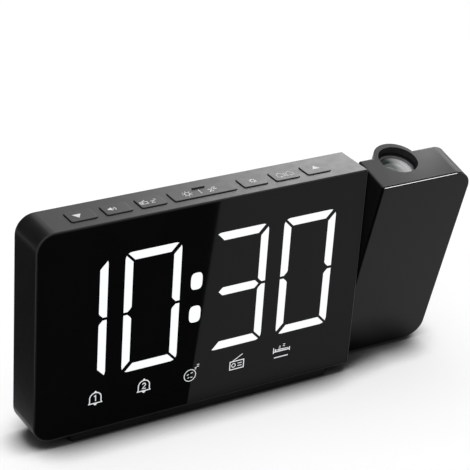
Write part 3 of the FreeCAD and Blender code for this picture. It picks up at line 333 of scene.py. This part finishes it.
slot_finish = {
    "housing_plastic": housing_black,
    "cap_plastic": cap_black,
    "foot_plastic": foot_black,
    "sole_rubber": sole_rubber,
    "panel_gloss": panel_black,
    "plate_gloss": plate_black,
    "light_box": inner_black,
    "light_guide": guide_milk,
    "circuit_board": board_green,
    "chip_black": inner_black,
    "ribbon": ribbon_white,
    "cable": cable_rubber,
    "screw_steel": steel_plate,
    "contact_brass": contact_brass,
    "speaker_metal": speaker_metal,
    "gasket_foam": gasket_foam,
    "socket_steel": socket_steel,
    "jack_plastic": inner_black,
    "plunger_plastic": inner_black,
    "barrel_plastic": barrel_black,
    "ring_plastic": ring_black,
    "lens_glass": lens_clear,
    "lcd_glass": lcd_clear,
    "led_red": led_red,
}
node_finish = {"arm_shell": arm_black, "lens_ring": trim_grey}
for part in frame["record"]["subparts"]:
    node = frame["nodes"][part["node"]]
    node.data.materials.clear()
    node.data.materials.append(node_finish.get(part["node"], slot_finish[part["material_slot"]]))


# Surfaces

def mesh_piece(name, patches, material, body):
    """One mesh from grids of points in millimetres, each (rows, columns, 3), given a thin closed body by a
    solidify modifier. Neighbouring grid points make the faces."""
    points = []
    faces = []
    start = 0
    for grid in patches:
        rows, columns = grid.shape[:2]
        index = start + np.arange(rows * columns).reshape(rows, columns)
        quads = np.stack([index[:-1, :-1], index[1:, :-1], index[1:, 1:], index[:-1, 1:]], axis=-1)
        points.append(grid.reshape(-1, 3))
        faces.append(quads.reshape(-1, 4))
        start += rows * columns
    mesh = bpy.data.meshes.new(name)
    mesh.from_pydata((np.concatenate(points) * MM).tolist(), [], np.concatenate(faces).tolist())
    mesh.update()
    mesh.materials.append(material)
    piece = bpy.data.objects.new(name, mesh)
    bpy.context.scene.collection.objects.link(piece)
    solidify = piece.modifiers.new("body", "SOLIDIFY")
    solidify.thickness = PRINT_THICKNESS * MM
    solidify.offset = 0
    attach(piece, body)


def on_panel(flat):
    """Flat (u, v) points stand on the front panel: u along the width, v up, facing the front."""
    return np.stack([flat[..., 0], np.full(flat.shape[:-1], PANEL_Y - LIFT), flat[..., 1]], axis=-1)


def on_cap(flat):
    """Flat (u, v) points lie on the button caps: u along the width, v to the rear, facing up."""
    return np.stack([flat[..., 0], flat[..., 1], np.full(flat.shape[:-1], CAP_Z + LIFT)], axis=-1)


def resample(path, count):
    """Points at equal shares of a polyline's length."""
    path = np.array(path, float)
    steps = np.hypot(*np.diff(path, axis=0).T)
    along = np.concatenate([[0], np.cumsum(steps)])
    places = np.linspace(0, along[-1], count)
    return np.stack([np.interp(places, along, path[:, axis]) for axis in (0, 1)], axis=-1)


def between(first, second, rows=9):
    """Ruled patch: each point of one path is joined by a straight line to the same point of the other."""
    share = np.linspace(0, 1, rows)[:, None, None]
    return (1 - share) * first[None] + share * second[None]


def stroke(path, width, closed=False):
    """Band of one width along a polyline: each point moves half the width along its two sides' mitre."""
    path = np.array(path, float)
    if closed:
        before, after = np.roll(path, 1, axis=0), np.roll(path, -1, axis=0)
    else:
        before = np.concatenate([2 * path[:1] - path[1:2], path[:-1]])
        after = np.concatenate([path[1:], 2 * path[-1:] - path[-2:-1]])
    side_in = path - before
    side_out = after - path
    side_in /= np.hypot(*side_in.T)[:, None]
    side_out /= np.hypot(*side_out.T)[:, None]
    normal_in = np.stack([-side_in[:, 1], side_in[:, 0]], axis=-1)
    normal_out = np.stack([-side_out[:, 1], side_out[:, 0]], axis=-1)
    mitre = normal_in + normal_out
    mitre /= np.maximum((mitre * normal_in).sum(axis=1), 0.6)[:, None]
    band = np.stack([path + mitre * width / 2, path - mitre * width / 2])
    if closed:
        band = np.concatenate([band, band[:, :1]], axis=1)
    return band


def disc(u, v, radius):
    """Filled circle: rings of points about its middle."""
    angle = np.linspace(0, 2 * pi, 25)
    rings = radius * np.array([0.02, 0.5, 1.0])[:, None]
    return np.stack([u + rings * np.cos(angle), v + rings * np.sin(angle)], axis=-1)


def arc(u, v, radius, start, end, steps=16, stretch=1.0):
    """Points on a circle, or on an ellipse with a stretch upwards, from one angle to another in degrees
    anticlockwise from the right."""
    angle = np.radians(np.linspace(start, end, steps))
    return np.stack([u + radius * np.cos(angle), v + radius * stretch * np.sin(angle)], axis=-1)


def moved(shapes, u, v, scale=1.0):
    """Shapes scaled about the origin and then moved by (u, v)."""
    return [shape * scale + np.array([u, v]) for shape in shapes]


# Display

DIGIT_WIDTH = 24.2
DIGIT_HEIGHT = 52.2
UPRIGHT_STROKE = 3.35
LEVEL_STROKE = 3.5
DIGIT_CORNER = 2.8
NEAR_CORNER_GAP = 0.75
FAR_CORNER_GAP = 1.3
WAIST_GAP = 0.62
BAR_GAP = 0.75
DIGIT_Z = 52.7
digit_places = {"hour_tens": -54.75, "hour_ones": -23.45, "minute_tens": 15.25, "minute_ones": 46.55}
lit_segments = {
    "hour_tens": "bc",
    "hour_ones": "abcdef",
    "minute_tens": "abcdg",
    "minute_ones": "abcdef",
}


def round_corners(flat):
    """Pull the points outside a digit's rounded outer corners in to the corner's circle."""
    reach = np.array([DIGIT_WIDTH / 2 - DIGIT_CORNER, DIGIT_HEIGHT / 2 - DIGIT_CORNER])
    over = np.maximum(np.abs(flat) - reach, 0)
    far = np.hypot(over[..., 0], over[..., 1])
    shrink = np.where(far > DIGIT_CORNER, DIGIT_CORNER / np.maximum(far, 1e-9), 1)
    return np.where(over > 0, np.sign(flat) * (reach + over * shrink[..., None]), flat)


def segment_patch(letter):
    """One segment about the digit's middle, as a ruled patch from its outer edge to its mitred inner edge.
    The top right and bottom left corners have the wider gap."""
    w, h, across, tall = DIGIT_WIDTH / 2, DIGIT_HEIGHT / 2, UPRIGHT_STROKE, LEVEL_STROKE
    count = 25
    if letter == "g":
        tip = w - across / 2 - WAIST_GAP - BAR_GAP
        upper = resample([
            (-tip, 0), (-tip + tall / 2, tall / 2), (tip - tall / 2, tall / 2), (tip, 0),
        ], count)
        return between(upper, upper * np.array([1, -1]))
    if letter in "ad":
        left, right = NEAR_CORNER_GAP, FAR_CORNER_GAP
        outer = resample([(-w + left, h), (w - right, h)], count)
        inner = resample([(-w + across + left, h - tall), (w - across - right, h - tall)], count)
        patch = round_corners(between(outer, inner))
        return patch if letter == "a" else patch * np.array([-1, -1])
    gap = FAR_CORNER_GAP if letter in "be" else NEAR_CORNER_GAP
    outer = resample([(w, h - gap), (w, WAIST_GAP)], count)
    inner = resample([
        (w - across, h - tall - gap), (w - across, across / 2 + WAIST_GAP), (w - across / 2, WAIST_GAP),
    ], count)
    flip = np.array([1 if letter in "bc" else -1, 1 if letter in "bf" else -1])
    patch = round_corners(between(outer, inner)) * flip
    return patch if flip.prod() > 0 else patch[::-1]


for name, x in digit_places.items():
    patches = [segment_patch(letter) for letter in lit_segments[name]]
    flat = moved(patches, x, DIGIT_Z)
    mesh_piece("lit_" + name, [on_panel(patch) for patch in flat], display_white, "body")

COLON_X = -4.1
COLON_RISE = 7.3
COLON_HALF_WIDTH = 2.55
COLON_HALF_HEIGHT = 3.675
COLON_POWER = 0.62


def rounded_dot(u, v):
    """Upright dot: an ellipse whose cosine and sine are raised to COLON_POWER, which squares up its outline,
    filled by shrinking the outline to its middle."""
    angle = np.linspace(0, 2 * pi, 49)
    edge = np.stack([
        COLON_HALF_WIDTH * np.sign(np.cos(angle)) * np.abs(np.cos(angle)) ** COLON_POWER,
        COLON_HALF_HEIGHT * np.sign(np.sin(angle)) * np.abs(np.sin(angle)) ** COLON_POWER,
    ], axis=-1)
    share = np.array([0.02, 0.35, 0.7, 1.0])[:, None, None]
    return share * edge[None] + np.array([u, v])


mesh_piece(
    "lit_colon", [on_panel(rounded_dot(COLON_X, DIGIT_Z + side * COLON_RISE)) for side in (-1, 1)],
    display_white, "body",
)

# Icons under the time, drawn about their middles
ICON_Z = 18.2
icon_places = {"first": -46.36, "second": -25.23, "snooze": -4.1, "radio": 17.03, "sleep": 38.16}


def bell():
    """Bell: a dome on straight sides, a flat lip with slanted feet, a knob above and a clapper below."""
    half = 2.45
    lip = -2.15
    dome = arc(0, 0.25, half, 0, 180, 17, 0.95)
    feet = [(-half, lip + 0.7), (-half - 0.3, lip), (half + 0.3, lip)]
    outline = np.concatenate([[(half, lip + 0.7)], dome, feet])
    clapper_top = resample([(-0.95, lip - 0.15), (0.95, lip - 0.15)], 9)
    clapper_tip = resample([(-0.2, -3.1), (0.2, -3.1)], 9)
    knob_base = resample([(-0.65, 2.7), (0.65, 2.7)], 5)
    knob_tip = resample([(-0.15, 3.35), (0.15, 3.35)], 5)
    clapper = between(clapper_top, clapper_tip, 4)
    knob = between(knob_base, knob_tip, 3)
    return [stroke(outline, 0.42, True), clapper, knob]


def letter_z(u, v, size):
    return stroke([(u, v + size), (u + size, v + size), (u, v), (u + size, v)], size * 0.3)


icons = {
    "first": bell() + [
        stroke([(-0.55, 0.85), (0.1, 1.3), (0.1, -1.2)], 0.42),
    ],
    "second": bell() + [
        stroke(np.concatenate([arc(0, 0.6, 0.68, 165, -35, 12), [(-0.72, -1.15), (0.8, -1.15)]]), 0.38),
    ],
    "snooze": [
        stroke(arc(-0.5, -0.6, 2.6, 0, 352.5, 48), 0.3, True),
        stroke([(-1.85, -0.35), (-1.05, 0.05)], 0.3),
        stroke([(-0.15, 0.25), (0.75, 0.55)], 0.3),
        stroke([(-1.5, -1.75), (-0.75, -1.35)], 0.28),
        stroke([(-0.2, -1.6), (0.65, -1.6)], 0.28),
        letter_z(1.55, 1.75, 0.75),
        letter_z(2.5, 2.75, 0.95),
    ],
    "radio": [
        stroke([(-3.2, -2.95), (3.2, -2.95), (3.2, 0.7), (-3.2, 0.7)], 0.4, True),
        stroke([(-2.2, 0.8), (2.5, 3.4)], 0.32),
        stroke(arc(-1.5, -1.12, 0.85, 0, 337.5, 16), 0.32, True),
        stroke([(0.4, -0.55), (2.3, -0.55)], 0.32),
        stroke([(0.4, -1.7), (2.3, -1.7)], 0.32),
    ],
    "sleep": [
        stroke([(-3.85, 2.1), (-3.85, -0.5)], 0.4),
        stroke([(-3.85, 0.2), (3.85, 0.2)], 0.5),
        stroke([(3.85, 1.2), (3.85, -0.5)], 0.4),
        disc(-2.85, 0.95, 0.42),
        between(resample([(-2.1, 0.75), (3.4, 0.75)], 9), resample([(-1.7, 1.25), (3.2, 1.0)], 9), 3),
        letter_z(-1.3, 1.7, 0.75),
        letter_z(0.6, 2.2, 0.9),
        stroke([(-3.3, -2.6), (3.3, -2.6)], 0.45),
    ],
}
for name, shapes in icons.items():
    flat = moved(shapes, icon_places[name], ICON_Z)
    mesh_piece("icon_" + name, [on_panel(shape)[::-1] for shape in flat], icon_white, "body")

# Prints on the button caps
LEGEND_Y = -0.8
LEGEND_SCALE = 1.18


def arrow(point):
    """Filled triangle that points to the rear (1) or to the front (-1)."""
    return [between(resample([(-1.5, -point * 1.05), (1.5, -point * 1.05)], 9),
                    resample([(-0.05, point * 1.35), (0.05, point * 1.35)], 9), 5)]


def waves(u, v, count):
    """Sound waves: arcs of growing radius to the right of a point."""
    return [stroke(arc(u, v, 0.75 + 0.75 * step, -40, 40, 9), 0.26) for step in range(count)]


def teeth(u, v, inner, outer, count):
    """Short spokes round a circle."""
    lines = []
    for step in range(count):
        angle = 2 * pi * step / count
        ends = [(u + reach * cos(angle), v + reach * sin(angle)) for reach in (inner, outer)]
        lines.append(stroke(ends, 0.28))
    return lines


small_bell = moved(bell(), 0, 0, 0.5)
legends = {
    "down": (-51.7, LEGEND_Y, arrow(-1)),
    "volume": (-37.2, LEGEND_Y, [
        between(resample([(-1.7, -0.45), (-1.7, 0.45)], 5), resample([(-1.1, -0.45), (-1.1, 0.45)], 5), 3),
        between(resample([(-1.1, -0.45), (-1.1, 0.45)], 5), resample([(-0.3, -1.1), (-0.3, 1.1)], 5), 3),
    ] + waves(-0.5, 0, 2)),
    "radio_sleep": (-22.4, LEGEND_Y, [
        stroke([(-2.9, -1.1), (-0.3, -1.1), (-0.3, 0.4), (-2.9, 0.4)], 0.28, True),
        stroke([(-2.4, 0.4), (-0.7, 1.4)], 0.24),
        disc(-2.1, -0.35, 0.38),
        letter_z(0.9, -1.1, 1.2),
        letter_z(2.3, 0.3, 0.8),
    ]),
    "snooze_light": (0.06, LEGEND_Y - 0.1, [
        stroke(arc(-4.76, 0, 0.95, 0, 345, 24), 0.28, True),
        *teeth(-4.76, 0, 1.35, 1.85, 8),
        stroke([(0, -1.3), (0, 1.3)], 0.26),
        letter_z(3.0, -1.3, 1.5),
        letter_z(4.8, -0.1, 1.3),
    ]),
    "set": (23.6, LEGEND_Y, [stroke(arc(0, 0, 0.8, 0, 345, 24), 0.3, True)] + teeth(0, 0, 0.95, 1.45, 8)),
    "alarm": (38.3, LEGEND_Y, moved(small_bell, -1.9, 0) + [stroke([(0, -1.2), (0, 1.2)], 0.26)]
              + moved(small_bell, 1.9, 0)),
    "up": (52.9, LEGEND_Y + 0.75, arrow(1)),
}
for name, (x, y, shapes) in legends.items():
    flat = moved(shapes, x, y, LEGEND_SCALE)
    mesh_piece("print_" + name, [on_cap(shape)[::-1] for shape in flat], print_grey, "button_" + name)


# Floor, world, lights and camera

def seen_directly(tree):
    """1 for camera, glossy and transmission rays, which see the white studio, and 0 for other rays."""
    path = tree.nodes.new("ShaderNodeLightPath")
    value = path.outputs["Is Camera Ray"]
    for name in ("Is Glossy Ray", "Is Transmission Ray"):
        larger = tree.nodes.new("ShaderNodeMath")
        larger.operation = "MAXIMUM"
        tree.links.new(value, larger.inputs[0])
        tree.links.new(path.outputs[name], larger.inputs[1])
        value = larger.outputs["Value"]
    return value


def studio_world():
    """Soft light for the other rays, and plain white for those that see the studio."""
    world = bpy.data.worlds.new("studio")
    world.use_nodes = True
    bpy.context.scene.world = world
    tree = world.node_tree
    tree.nodes.clear()
    output = tree.nodes.new("ShaderNodeOutputWorld")
    soft = tree.nodes.new("ShaderNodeBackground")
    soft.inputs["Color"].default_value = (0.97, 0.98, 1.0, 1)
    soft.inputs["Strength"].default_value = 0.5
    white = tree.nodes.new("ShaderNodeBackground")
    white.inputs["Color"].default_value = (1, 1, 1, 1)
    white.inputs["Strength"].default_value = 1.0
    mix = tree.nodes.new("ShaderNodeMixShader")
    tree.links.new(seen_directly(tree), mix.inputs["Fac"])
    tree.links.new(soft.outputs["Background"], mix.inputs[1])
    tree.links.new(white.outputs["Background"], mix.inputs[2])
    tree.links.new(mix.outputs["Shader"], output.inputs["Surface"])


studio_world()


def at_height(corners, height):
    """Corners (x, y) at one height."""
    return [(x, y, height) for x, y in corners]


def stage_sheet(name, corners, material):
    """One flat face with the given corners, which belongs to the studio and not to the clock."""
    mesh = bpy.data.meshes.new(name)
    mesh.from_pydata(corners, [], [list(range(len(corners)))])
    mesh.update()
    mesh.materials.append(material)
    piece = bpy.data.objects.new(name, mesh)
    bpy.context.scene.collection.objects.link(piece)
    return piece


def only_in_reflections(piece):
    """Hidden from all rays but glossy ones."""
    piece.visible_camera = False
    piece.visible_diffuse = False
    piece.visible_shadow = False
    piece.visible_transmission = False


FLOOR_REACH = 6
FLOOR_Z = -0.0002
FLOOR_GLOW = 0.58
# Painted contact shadow on the floor: ambient occlusion within this reach, between these two levels, darkens
# the floor to this dark colour and dims its glow
PAINTED_SHADOW_REACH = 0.022
PAINTED_SHADOW_FULL = 0.47
PAINTED_SHADOW_END = 0.85
PAINTED_SHADOW_COLOUR = (0.08, 0.08, 0.08)


def floor_material():
    """White floor with a painted shadow, darker where something stands close above it."""
    finish = Finish("floor_white", (0.5, 0.5, 0.5), 0.9, level=0.0).mottle(60, 0.01)
    finish.polish(20, 0.85, 0.95)
    painted_shadow_occlusion = finish.tree.nodes.new("ShaderNodeAmbientOcclusion")
    painted_shadow_occlusion.samples = 24
    painted_shadow_occlusion.inputs["Distance"].default_value = PAINTED_SHADOW_REACH
    openness = finish.remap(painted_shadow_occlusion.outputs["AO"], PAINTED_SHADOW_FULL, PAINTED_SHADOW_END, 0.0, 1.0)
    # Painted shadow: the base colour goes dark where something stands close above
    finish.tree.links.new(
        finish.blend(openness, PAINTED_SHADOW_COLOUR, finish.tone), finish.shader.inputs["Base Color"]
    )
    # The glow fades in the painted shadow as well
    glow = finish.tree.nodes.new("ShaderNodeMath")
    glow.operation = "MULTIPLY"
    finish.tree.links.new(finish.remap(seen_directly(finish.tree), 0, 1, 0, FLOOR_GLOW), glow.inputs[0])
    finish.tree.links.new(openness, glow.inputs[1])
    finish.tree.links.new(glow.outputs["Value"], finish.shader.inputs["Emission Strength"])
    finish.set(Emission_Color=(1, 1, 1, 1))
    return finish.material


floor_corners = [
    (-FLOOR_REACH, -FLOOR_REACH), (FLOOR_REACH, -FLOOR_REACH),
    (FLOOR_REACH, FLOOR_REACH), (-FLOOR_REACH, FLOOR_REACH),
]
stage_sheet("floor", at_height(floor_corners, FLOOR_Z), floor_material())

# Black cards, seen only in reflections
FLAG_Z = 0.0003
FLAG_HIGH_Y = 0.42
flag_finish = Finish("flag_black", (0.02, 0.02, 0.02), 0.9, level=0.0).mottle(20, 0.1)
flag_finish.polish(20, 0.85, 0.95)
flags = {
    "flag_front": at_height([(-0.002, -0.0145), (-0.085, -0.0145), (-0.03, -0.206), (0.13, -0.206)], FLAG_Z),
    "flag_left": at_height([(-0.078, -0.012), (-0.078, 0.3), (-0.5, 0.3), (-0.5, -0.012)], FLAG_Z),
    "flag_high": [(x, FLAG_HIGH_Y, z) for x, z in ((-0.8, 0), (0, 0), (0, 0.8), (-0.8, 0.8))],
}
for name, corners in flags.items():
    only_in_reflections(stage_sheet(name, corners, flag_finish.material))


def card_material():
    """White light from the front of a card, and nothing from its back."""
    material = bpy.data.materials.new("card_white")
    material.use_nodes = True
    tree = material.node_tree
    tree.nodes.clear()
    output = tree.nodes.new("ShaderNodeOutputMaterial")
    lit = tree.nodes.new("ShaderNodeEmission")
    lit.inputs["Strength"].default_value = 1.0
    passing = tree.nodes.new("ShaderNodeBsdfTransparent")
    facing = tree.nodes.new("ShaderNodeNewGeometry")
    mix = tree.nodes.new("ShaderNodeMixShader")
    tree.links.new(facing.outputs["Backfacing"], mix.inputs["Fac"])
    tree.links.new(lit.outputs["Emission"], mix.inputs[1])
    tree.links.new(passing.outputs["BSDF"], mix.inputs[2])
    tree.links.new(mix.outputs["Shader"], output.inputs["Surface"])
    return material


# White card in front of the gap beside the arm, which hides the arm's mirror image in the panel
CARD_X = 0.07285
card_corners = [(CARD_X, -0.0094, 0.0443), (CARD_X, -0.0205, 0.0925), (CARD_X, -0.0094, 0.0925)]
only_in_reflections(stage_sheet("card_gap", card_corners, card_material()))


def softbox(name, place, target, width, height, power, glossy_only=False):
    """Rectangular lamp that faces the target, for all light or for the gloss alone."""
    lamp = bpy.data.lights.new(name, "AREA")
    lamp.shape = "RECTANGLE"
    lamp.size = width
    lamp.size_y = height
    lamp.energy = power
    holder = bpy.data.objects.new(name, lamp)
    holder.location = place
    holder.rotation_euler = (Vector(target) - Vector(place)).to_track_quat("-Z", "Y").to_euler()
    holder.visible_camera = False
    if glossy_only:
        holder.visible_diffuse = False
    bpy.context.scene.collection.objects.link(holder)
    return holder


def light_only(lamp, node):
    """The lamp lights this one node."""
    receivers = bpy.data.collections.new(lamp.name + "_receivers")
    receivers.objects.link(frame["nodes"][node])
    lamp.light_linking.receiver_collection = receivers


middle = (0.02, 0, 0.05)
softbox("softbox_top", (-0.1, 0.1, 1.5), middle, 2.0, 1.8, 13)
softbox("softbox_left", (-1.0, -0.6, 1.0), middle, 1.0, 0.8, 2)
softbox("softbox_rear", (0.75, 0.72, 0.5), (0.08, 0, 0.09), 0.5, 0.5, 3.8, glossy_only=True)
edge_lamp = softbox(
    "softbox_edge", (0.555, 0.454, 0.837), (0.095, -0.02, 0.093), 0.35, 0.35, 15, glossy_only=True
)
light_only(edge_lamp, "arm_front_plate")
arm_lamp = softbox(
    "softbox_arm", (0.146, 0.03, 0.138), (0.115, 0.002, 0.093), 0.012, 0.012, 0.0045, glossy_only=True
)
light_only(arm_lamp, "arm_shell")

camera_place = Vector((-0.31709, -0.52159, 0.38628))
camera_forward = Vector((0.48156, 0.75004, -0.45337)).normalized()
camera_right = Vector((0.85678, -0.51178, 0.06339))
camera_right = (camera_right - camera_forward * camera_right.dot(camera_forward)).normalized()
camera_up = camera_right.cross(camera_forward)
camera_data = bpy.data.cameras.new("camera")
camera_data.sensor_width = 36
camera_data.lens = 136.08
camera_data.clip_start = 0.01
camera_data.clip_end = 50
camera = bpy.data.objects.new("camera", camera_data)
camera.matrix_world = Matrix.Translation(camera_place) @ Matrix(
    (camera_right, camera_up, -camera_forward)
).transposed().to_4x4()
bpy.context.scene.collection.objects.link(camera)
bpy.context.scene.camera = camera
bpy.context.scene.view_settings.view_transform = "Standard"
